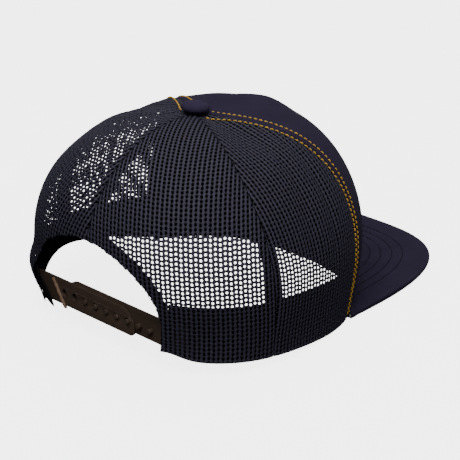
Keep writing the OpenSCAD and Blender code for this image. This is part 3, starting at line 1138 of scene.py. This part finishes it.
def even_steps(curve, count):
    """count + 1 parameters from -1 to 1 that are evenly spaced along curve(t)."""
    t = np.linspace(-1, 1, 2001)
    path = curve(t)
    run = np.concatenate([[0], np.cumsum(np.linalg.norm(np.diff(path, axis=0), axis=1))])
    return np.interp(np.linspace(0, run[-1], count + 1), run, t), run[-1]


def bill_sheet(name, under, finish):
    """One cover of the bill. The upper one also turns down over the board's edge."""
    nu, nw, turns = 150, 46, 0 if under else 7
    steps, _ = even_steps(bill_edge, nu)
    edge = bill_edge(steps)
    heel = cap_point(-FRONT_SEAM[0] * steps, 0, -BILL_CLEAR)[:, :2]
    pull = edge - heel
    inward = pull / np.maximum(np.linalg.norm(pull, axis=1), 1e-6)[:, None]
    lip = BILL_THICK / 2
    reach = 1.2 * MM if under else lip
    size = sizes()
    points, uv = [], []
    for j in range(nw + turns + 1):
        w = min(j / nw, 1.0)
        flat = heel + pull * w ** 0.9 - inward * reach * w ** 6
        height = np.full(nu + 1, -BILL_THICK if under else 0.0)
        if j > nw:
            angle = math.pi * (j - nw) / turns
            flat = flat + inward * lip * math.sin(angle)
            height = np.full(nu + 1, -lip * (1 - math.cos(angle)))
        inset = bill_inset(flat[:, 0], flat[:, 1])
        groove = np.zeros(nu + 1)
        for k in range(size.bill_rows):
            row = size.bill_first_row + k * size.bill_row_step
            groove += bump_at(inset, row, GROOVE_WIDTH)
        if j <= nw:
            height = height + (1 if under else -1) * GROOVE_DEPTH * groove
        points.append(bill_place(flat[:, 0], flat[:, 1], height))
        uv.append(flat)
    points, uv = np.concatenate(points), np.concatenate(uv)
    faces = mesh_from_grid(nu, nw + turns)
    piece = mesh_piece(name, points, faces, uv)
    up = piece.data.polygons[nu // 2 + nu * (nw // 2)].normal.z
    if (up < 0) != under:
        piece.data.flip_normals()
    apply_modifier(piece, "SOLIDIFY", thickness=0.45 * MM, offset=-1.0)
    finish_piece(piece, finish, slot="navy_cloth",
                 replaced=["bill_under_cloth"] if under else ["bill_top_cloth"])
    width, length = 0.175, 0.125
    declare_sheet(piece, width, length, area=0.72 * width * length)
    return piece


class CAP_OT_bill(bpy.types.Operator):
    """Cover the bill's board with cloth above and below"""
    bl_idname = "cap.bill"
    bl_label = "Bill"

    def execute(self, context):
        bill_sheet("bill_cloth_top", False, "bill_cloth")
        bill_sheet("bill_cloth_under", True, "bill_cloth")
        return {"FINISHED"}


# ---- stitching --------------------------------------------------------------------------
def stitch_mesh(starts, ends, normals, radius, flatness=0.6, sides=6):
    """Rounded stitches, each from a start to an end point, standing on the cloth."""
    profile = [(0.0, 0.30, -0.9), (0.10, 0.80, 0.0), (0.35, 1.0, 0.45), (0.65, 1.0, 0.45),
               (0.90, 0.80, 0.0), (1.0, 0.30, -0.9)]
    points, faces, uv = [], [], []
    for start, end, normal in zip(starts, ends, normals):
        along = end - start
        length = np.linalg.norm(along)
        forward = along / max(length, 1e-9)
        across = np.cross(forward, normal)
        across /= max(np.linalg.norm(across), 1e-9)
        upward = np.cross(across, forward)
        first = len(points)
        for place, wide, rise in profile:
            centre = start + along * place + upward * radius * rise
            for k in range(sides):
                turn = 2 * math.pi * k / sides
                points.append(centre + across * radius * wide * math.cos(turn)
                              + upward * radius * wide * flatness * math.sin(turn))
                uv.append((place * length, k / sides * radius * 6))
        rings = len(profile)
        for r in range(rings - 1):
            for k in range(sides):
                n = (k + 1) % sides
                faces.append((first + r * sides + k, first + r * sides + n,
                              first + (r + 1) * sides + n, first + (r + 1) * sides + k))
        faces.append(tuple(first + k for k in range(sides))[::-1])
        faces.append(tuple(first + (rings - 1) * sides + k for k in range(sides)))
    return points, faces, uv


def stitched_row(curve, pitch, gap):
    """Starts and ends of stitches along curve(t), t from -1 to 1."""
    steps, length = even_steps(curve, 400)
    count = max(1, int(length / pitch))
    share = np.arange(count) / count
    t0 = np.interp(share, np.linspace(0, 1, 401), steps)
    t1 = np.interp(share + (1 - gap) / count, np.linspace(0, 1, 401), steps)
    return curve(t0), curve(t1)


def stitches_piece(name, rows, *shape):
    """One piece with the stitches of every row, each (starts, ends, normals)."""
    points, faces, uv = [], [], []
    for row in rows:
        more_points, more_faces, more_uv = stitch_mesh(*row, *shape)
        base = len(points)
        points += more_points
        faces += [tuple(corner + base for corner in face) for face in more_faces]
        uv += more_uv
    return recalculated(mesh_piece(name, points, faces, uv))


def surface_normals(points, centre):
    out = points - centre
    return out / np.linalg.norm(out, axis=1)[:, None]


def crown_row(line, low, high, depth, lift):
    """Curve at line(v) on the relaxed crown, t from -1 at low to 1 at high."""
    def curve(t):
        v = low + (high - low) * (np.asarray(t) + 1) / 2
        return crown_point(line(v), v, depth - lift)
    return curve


class CAP_OT_stitching(bpy.types.Operator):
    """Sew the front seams in gold thread and the bill in navy thread"""
    bl_idname = "cap.stitching"
    bl_label = "Stitching"

    def execute(self, context):
        self.front_seams()
        self.bill_rows()
        return {"FINISHED"}

    def front_seams(self):
        size = sizes()
        centre = np.array([0, 0, CROWN_HEIGHT * 0.35])
        for hand, sign in (("right", 1), ("left", -1)):
            rows = []
            for side in (-1, 1):
                def line(v, side=side):
                    base = seam(FRONT_SEAM, v)
                    apart = size.stitch_offset * (0.40 + 0.60 * v + 0.55 * v ** 6)
                    return sign * (base + side * apart * degrees_per_metre(base, v))
                lift = 0.10 * MM if side < 0 else 0.18 * MM
                curve = crown_row(line, 0.02, 0.985, 0.0, lift)
                starts, ends = stitched_row(curve, size.stitch_pitch, 0.28)
                normals = surface_normals((starts + ends) / 2, centre)
                rows.append((starts, ends, normals))
            piece = stitches_piece(f"seam_stitches_{hand}", rows, 0.44 * MM, 0.85, 8)
            finish_piece(piece, "gold_thread", replaced=[f"topstitch_{hand}"])

    def bill_rows(self):
        size = sizes()
        rows = []
        for k in range(size.bill_rows):
            inset = size.bill_first_row + k * size.bill_row_step
            for height, up in ((-0.22 * MM, 1), (-BILL_THICK + 0.22 * MM, -1)):
                def curve(t, inset=inset, height=height):
                    plan = bill_edge(np.asarray(t), inset)
                    return bill_place(plan[:, 0], plan[:, 1], height)
                starts, ends = stitched_row(curve, 3.0 * MM, 0.25)
                kept = [i for i in range(len(starts)) if self.on_bill(starts[i], ends[i])]
                starts, ends = starts[kept], ends[kept]
                normals = np.tile([0, 0, float(up)], (len(starts), 1))
                rows.append((starts, ends, normals))
        piece = stitches_piece("bill_stitches", rows, 0.30 * MM, 0.8, 6)
        finish_piece(piece, "navy_thread", replaced=["bill_stitching"])

    @staticmethod
    def on_bill(start, end):
        """Whether a stitch lies in front of the crown's rim."""
        clear = 2.0 * MM
        return all(p[1] <= crown_rim_y(p[0]) - clear for p in (start, end))


def crown_rim_y(x):
    """y of the crown's front rim at x, in the row's frame."""
    a = np.linspace(0, 90, 181)
    rim = seat(cap_point(a, 0))
    return float(np.interp(abs(x), -rim[:, 0], rim[:, 1]))


def recalculated(piece):
    activate(piece)
    bpy.ops.object.mode_set(mode="EDIT")
    bpy.ops.mesh.select_all(action="SELECT")
    bpy.ops.mesh.normals_make_consistent(inside=False)
    bpy.ops.object.mode_set(mode="OBJECT")
    return piece


# ---- snap strap --------------------------------------------------------------------------
STRAP_Y, STRAP_THICK, STRAP_GAP, STRAP_WIDTH = 71 * MM, 1.4 * MM, 0.3 * MM, 14.8 * MM
HINGE_X, SNAP_Z, SNAP_PITCH, LAST_HOLE = 45 * MM, 11.4 * MM, 8.6 * MM, -19.3 * MM
TAB_FAR = 58 * MM
HOLE_RADIUS, PEG_RADIUS, SNAPS = 2.1 * MM, 1.7 * MM, 7
OUTER_LOW, INNER_LOW = 4.1 * MM, 5.6 * MM        # lower edges of the two halves
OUTER_END = LAST_HOLE - 5.7 * MM
LAST_PEG = LAST_HOLE + 4 * SNAP_PITCH
INNER_END = LAST_PEG + 20.9 * MM                 # past the outer half's last open hole


def boolean(piece, cutter, operation):
    apply_modifier(piece, "BOOLEAN", object=cutter, operation=operation, solver="EXACT")
    bpy.data.objects.remove(cutter, do_unlink=True)


def placed(add, **settings):
    """Add a primitive with its place in its mesh."""
    deselect()
    add(**settings)
    bpy.ops.object.transform_apply(location=True, rotation=True, scale=True)
    return bpy.context.object


def cylinder(radius, depth, at):
    return placed(bpy.ops.mesh.primitive_cylinder_add, vertices=32, radius=radius, depth=depth,
                  location=at, rotation=(math.pi / 2, 0, 0))


def block(low, high):
    return placed(bpy.ops.mesh.primitive_cube_add, size=1,
                  location=[(a + b) / 2 for a, b in zip(low, high)],
                  scale=[b - a for a, b in zip(low, high)])


def bevel_edges(piece, chosen, width, segments, profile=0.5):
    """Bevel the edges for which chosen(middle, direction) holds."""
    activate(piece)
    bpy.ops.object.mode_set(mode="EDIT")
    bpy.ops.mesh.select_mode(type="EDGE")
    bpy.ops.mesh.select_all(action="DESELECT")
    bm = bmesh.from_edit_mesh(piece.data)
    for edge in bm.edges:
        middle = (edge.verts[0].co + edge.verts[1].co) / 2
        direction = (edge.verts[0].co - edge.verts[1].co).normalized()
        if chosen(middle, direction):
            edge.select_set(True)
    bmesh.update_edit_mesh(piece.data)
    bpy.ops.mesh.bevel(offset=width, segments=segments, profile=profile)
    bpy.ops.mesh.select_mode(type="VERT")
    bpy.ops.object.mode_set(mode="OBJECT")


def soften(piece, width, segments=2, angle=40):
    """Round the edges of a piece that turn by more than an angle in degrees."""
    return apply_modifier(piece, "BEVEL", width=width, segments=segments, limit_method="ANGLE",
                          angle_limit=math.radians(angle))


def join(first, *others):
    activate(first)
    for obj in others:
        obj.select_set(True)
    bpy.ops.object.join()
    return first


def cut_across(piece, axis, places):
    """Cut a piece across at each place, so that it can bend there."""
    activate(piece)
    bpy.ops.object.mode_set(mode="EDIT")
    for place in places:
        bpy.ops.mesh.select_all(action="SELECT")
        bpy.ops.mesh.bisect(plane_co=[float(place) * n for n in axis], plane_no=axis)
    bpy.ops.object.mode_set(mode="OBJECT")


class CAP_OT_strap(bpy.types.Operator):
    """Mould the two halves of the snap strap with their sewn flanges"""
    bl_idname = "cap.strap"
    bl_label = "Snap strap"

    def execute(self, context):
        self.half_with_holes()
        self.half_with_pegs()
        return {"FINISHED"}

    def plate(self, name, y, low_z, free_x, sewn_x, corners):
        """Strap plate from its sewn end to its free end, with its free corners rounded."""
        piece = block((min(free_x, sewn_x), y - STRAP_THICK / 2, low_z),
                      (max(free_x, sewn_x), y + STRAP_THICK / 2, low_z + STRAP_WIDTH))
        piece.name = name
        for z, radius, segments, profile in corners:
            bevel_edges(piece, lambda m, d: abs(m.x - free_x) < 1e-5
                        and abs(m.z - low_z - z * STRAP_WIDTH) < 1e-5 and abs(d.y) > 0.9,
                        radius, segments, profile)
        return piece

    def half_with_holes(self):
        y = STRAP_Y + (STRAP_GAP + STRAP_THICK) / 2
        face = y + STRAP_THICK / 2
        holes = [LAST_HOLE + i * SNAP_PITCH for i in range(SNAPS)]
        piece = self.plate("strap_outer", y, OUTER_LOW, OUTER_END, TAB_FAR,
                           [(1, 10.6 * MM, 10, 0.42), (0, 2.8 * MM, 6, 0.5)])
        for x in holes:
            boolean(piece, cylinder(HOLE_RADIUS, 6 * MM, (x, y, SNAP_Z)), "DIFFERENCE")
        soften(piece, 0.22 * MM)
        rims = [placed(bpy.ops.mesh.primitive_torus_add, location=(x, face - 0.05 * MM, SNAP_Z),
                       rotation=(math.pi / 2, 0, 0), major_radius=2.5 * MM,
                       minor_radius=0.26 * MM, major_segments=40, minor_segments=8)
                for x in holes]
        ridge = self.ridge(LAST_HOLE, 41 * MM, face, 3.1 * MM)
        piece = join(piece, *rims, ridge)
        self.flange(piece, 1, y)
        rib = self.rib(face)
        # the rib takes the lighter copy of the strap plastic, a painted highlight
        for part, finish, nodes in ((piece, "strap_plastic",
                                     ["strap_with_holes", "strap_tab_left"]),
                                    (rib, "flange_plastic", [])):
            self.complete(part, finish, "outer_strap", nodes, 1)

    def ridge(self, x0, x1, face, radius):
        """Fine raised line above the holes that runs down round the last one."""
        points = [(x1, SNAP_Z + radius), (x0 + 0.5 * MM, SNAP_Z + radius)]
        for step in range(1, 15):
            turn = math.pi / 2 + math.pi * step / 12
            points.append((x0 + radius * math.cos(turn), SNAP_Z + radius * math.sin(turn)))
        half, rise = 0.20 * MM, 0.20 * MM
        verts, faces = [], []
        for k, (x, z) in enumerate(points):
            before, after = points[max(k - 1, 0)], points[min(k + 1, len(points) - 1)]
            along = Vector((after[0] - before[0], after[1] - before[1])).normalized()
            side = Vector((-along.y, along.x)) * half
            verts += [(x + side.x, face - 0.1 * MM, z + side.y), (x, face + rise, z),
                      (x - side.x, face - 0.1 * MM, z - side.y)]
            if k:
                b = 3 * k
                faces += [(b - 3, b, b + 1, b - 2), (b - 2, b + 1, b + 2, b - 1),
                          (b - 1, b + 2, b, b - 3)]
        last = 3 * (len(points) - 1)
        faces += [(0, 1, 2), (last + 2, last + 1, last)]
        return recalculated(mesh_piece("ridge", verts, faces))

    def rib(self, face):
        """Rough moulded edge of the sewn flange, which lies aslant across the strap."""
        low, high = Vector((30.8 * MM, face, 2.4 * MM)), Vector((42.3 * MM, face, 17.8 * MM))
        length = (high - low).length
        piece = block((-0.8 * MM, -0.9 * MM, 0), (0.8 * MM, 0.9 * MM, length))
        piece.name = "strap_rib"
        cut_across(piece, (0, 0, 1), np.linspace(0, length, 26)[1:-1])
        rough, roughness = np.random.default_rng(7), 0.16
        tilt = Matrix.Rotation(math.atan2(high.x - low.x, high.z - low.z), 4, "Y")
        for vertex in piece.data.vertices:
            share = vertex.co.z / length
            taper = 1 - 0.7 * max(0.0, (0.12 - share) / 0.12)
            bumps = 1 + rough.uniform(-roughness, roughness)
            vertex.co.x *= taper * bumps
            vertex.co.y *= bumps
            vertex.co = tilt @ vertex.co + low
        return soften(piece, 0.25 * MM)

    def half_with_pegs(self):
        y = STRAP_Y - (STRAP_GAP + STRAP_THICK) / 2
        piece = self.plate("strap_inner", y, INNER_LOW, INNER_END, -TAB_FAR,
                           [(1, 11.9 * MM, 10, 0.42), (0, 2.8 * MM, 6, 0.5)])
        soften(piece, 0.22 * MM)
        pegs, reach = [], STRAP_THICK / 2 + 2.5 * MM
        for i in range(5 - SNAPS, 5):
            peg = cylinder(PEG_RADIUS, reach,
                           (LAST_HOLE + i * SNAP_PITCH, y + reach / 2, SNAP_Z))
            pegs.append(soften(peg, 0.5 * MM, 3, 60))
        piece = join(piece, *pegs)
        self.flange(piece, -1, y)
        self.complete(piece, "strap_plastic", "inner_strap",
                      ["strap_with_pegs", "strap_tab_right"], -1)

    def flange(self, piece, sign, y):
        """Bend the sewn end along the inside of the crown."""
        cut_across(piece, (1, 0, 0), sign * np.linspace(30, 57, 19) * MM)
        cut_across(piece, (0, 0, 1), np.linspace(6, 18, 7) * MM)
        start = HINGE_X + 0.5 * MM
        for vertex in piece.data.vertices:
            x, z = abs(vertex.co.x), vertex.co.z
            if x > start:
                a = rim_direction(min(x, TAB_FAR), 2.6 * MM)
                inside = cap_point(a, level_to_v(a, z), 2.6 * MM)
                side = (vertex.co.y - y) / STRAP_THICK
                share = float(smooth_step((x - start) / (3 * MM)))
                wanted = float(inside[1]) + side * 0.5 * MM
                vertex.co.y = vertex.co.y * (1 - share) + wanted * share
            if sign > 0:
                vertex.co.x += float(edge_shift(z) * smooth_step((vertex.co.x / MM - 34) / 12))

    def complete(self, piece, finish, body, nodes, sign):
        """Turn a part of the strap into the row's frame, finish it and let it bend."""
        seated = Matrix.Translation((0, 0, SEAT_LIFT)) @ Matrix.Rotation(PITCH, 4, "X")
        piece.data.transform(seated)
        activate(piece)
        bpy.ops.object.shade_smooth_by_angle(angle=math.radians(35))
        finish_piece(piece, finish, body=None, slot="strap_plastic", replaced=nodes)
        start, end = (seat([sign * x, STRAP_Y, SNAP_Z]) for x in (47.5 * MM, 42.5 * MM))
        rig.blend(piece, "cap", body, start=tuple(start), end=tuple(end))


# ---- carried-over nodes and the stage ----------------------------------------------------
class CAP_OT_hidden_parts(bpy.types.Operator):
    """Finish the rivet and the bill's board, which keep their own shapes"""
    bl_idname = "cap.hidden_parts"
    bl_label = "Rivet and board"

    def execute(self, context):
        for node, finish in (("button_rivet", "rivet_paint"), ("bill_board", "board_plastic")):
            mesh = frame["nodes"][node].data
            mesh.materials.clear()
            mesh.materials.append(finish_of(finish))
        return {"FINISHED"}


BACKDROP_GLOW = 4.0


class CAP_OT_stage(bpy.types.Operator):
    """Set the pale floor, the soft light and the camera"""
    bl_idname = "cap.stage"
    bl_label = "Stage"

    def execute(self, context):
        self.floor()
        self.lights()
        self.camera()
        return {"FINISHED"}

    def floor(self):
        deselect()
        bpy.ops.mesh.primitive_plane_add(size=8, location=(0, 0, 0))
        floor = bpy.context.object
        floor.name = "floor"
        sh = Shader("floor_white")
        sh.set(Base_Color=(0.8, 0.8, 0.8), Roughness=0.9, Specular_IOR_Level=0.1,
               Emission_Color=(1, 1, 1), Emission_Strength=BACKDROP_GLOW)
        floor.data.materials.append(sh.material)
        floor.visible_diffuse = floor.visible_glossy = False
        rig.stage(floor)

    def lights(self):
        world = bpy.data.worlds.new("studio")
        bpy.context.scene.world = world
        world.use_nodes = True
        tree = world.node_tree
        background = tree.nodes["Background"]
        background.inputs[1].default_value = 1.0
        coordinates = tree.nodes.new("ShaderNodeTexCoord")
        split = tree.nodes.new("ShaderNodeSeparateXYZ")
        ramp = tree.nodes.new("ShaderNodeValToRGB")
        ramp.color_ramp.elements[0].position, ramp.color_ramp.elements[1].position = 0.0, 0.8
        ramp.color_ramp.elements[0].color = (0.03, 0.03, 0.03, 1)
        ramp.color_ramp.elements[1].color = (0.5, 0.5, 0.5, 1)
        tree.links.new(coordinates.outputs["Generated"], split.inputs[0])
        tree.links.new(split.outputs[2], ramp.inputs[0])
        tree.links.new(ramp.outputs[0], background.inputs[0])
        seen = tree.nodes.new("ShaderNodeBackground")  # what the camera sees: as the floor
        seen.inputs[1].default_value = BACKDROP_GLOW
        rays, mix = tree.nodes.new("ShaderNodeLightPath"), tree.nodes.new("ShaderNodeMixShader")
        tree.links.new(rays.outputs["Is Camera Ray"], mix.inputs[0])
        tree.links.new(background.outputs[0], mix.inputs[1])
        tree.links.new(seen.outputs[0], mix.inputs[2])
        tree.links.new(mix.outputs[0], tree.nodes["World Output"].inputs[0])
        for name, place, size, watts in (
                ("key", (-0.45, 0.75, 1.6), 0.8, 17), ("fill", (-1.5, 0.2, 0.9), 1.2, 3),
                ("top", (0.3, -0.4, 1.7), 1.0, 4)):
            light = bpy.data.lights.new(name, "AREA")
            light.energy, light.size = watts, size
            lamp = bpy.data.objects.new(name, light)
            bpy.context.collection.objects.link(lamp)
            lamp.location = place
            aim = Vector((0, 0, 0.05)) - Vector(place)
            lamp.rotation_euler = aim.to_track_quat("-Z", "Y").to_euler()

    def camera(self):
        """Camera behind the cap on its wearer's right, a little above it."""
        turn, tip, roll = math.radians(42.78), math.radians(19.215), math.radians(-3.5)
        distance = 889.5 * MM
        aim = np.array([0, 0, 60 * MM])
        view = np.array([math.sin(turn) * math.cos(tip), -math.cos(turn) * math.cos(tip),
                         -math.sin(tip)])
        right = np.array([-math.cos(turn), -math.sin(turn), 0])
        up = np.cross(right, view)
        right, up = (right * math.cos(roll) - up * math.sin(roll),
                     right * math.sin(roll) + up * math.cos(roll))
        flat = seat(np.zeros(3))
        right, up, view = (seat(axis) - flat for axis in (right, up, view))
        data = bpy.data.cameras.new("camera")
        data.sensor_width = 36
        data.lens = 120.15
        data.shift_x, data.shift_y = 0.0685, -0.0598    # the cap stands a little off the middle
        data.clip_start, data.clip_end = 0.05, 20
        camera = bpy.data.objects.new("camera", data)
        bpy.context.collection.objects.link(camera)
        place = seat(aim) - view * distance
        camera.matrix_world = Matrix((
            (right[0], up[0], -view[0], place[0]), (right[1], up[1], -view[1], place[1]),
            (right[2], up[2], -view[2], place[2]), (0, 0, 0, 1)))
        bpy.context.scene.camera = camera


class CAP_PT_sidebar(bpy.types.Panel):
    """Buttons for the cap's pieces, in the order in which they are made"""
    bl_idname = "CAP_PT_sidebar"
    bl_label = "Cap"
    bl_space_type = "VIEW_3D"
    bl_region_type = "UI"
    bl_category = "Cap"

    def draw(self, context):
        for operator in OPERATORS:
            self.layout.operator(operator.bl_idname)
        for group in (context.scene.cap_sizes, context.scene.cap_colours):
            for name in group.__annotations__:
                self.layout.prop(group, name)


OPERATORS = [CAP_OT_front, CAP_OT_net_panels, CAP_OT_linings, CAP_OT_sweatband, CAP_OT_button,
             CAP_OT_bill, CAP_OT_stitching, CAP_OT_strap, CAP_OT_hidden_parts, CAP_OT_stage]
CLASSES = [CapSizes, CapColours, *OPERATORS, CAP_PT_sidebar]


def register():
    for cls in CLASSES:
        bpy.utils.register_class(cls)
    bpy.types.Scene.cap_sizes = bpy.props.PointerProperty(type=CapSizes)
    bpy.types.Scene.cap_colours = bpy.props.PointerProperty(type=CapColours)


def unregister():
    del bpy.types.Scene.cap_colours
    del bpy.types.Scene.cap_sizes
    for cls in reversed(CLASSES):
        bpy.utils.unregister_class(cls)


def main():
    register()
    for operator in OPERATORS:
        group, name = operator.bl_idname.split(".")
        getattr(getattr(bpy.ops, group), name)()
    visual_box = [[round(c, 6) for c in corner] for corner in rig.bounds()]
    with open("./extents.json", "w") as out:
        json.dump({"cad": CAD_BOX, "visual": visual_box}, out)


if __name__ == "__main__":
    main()
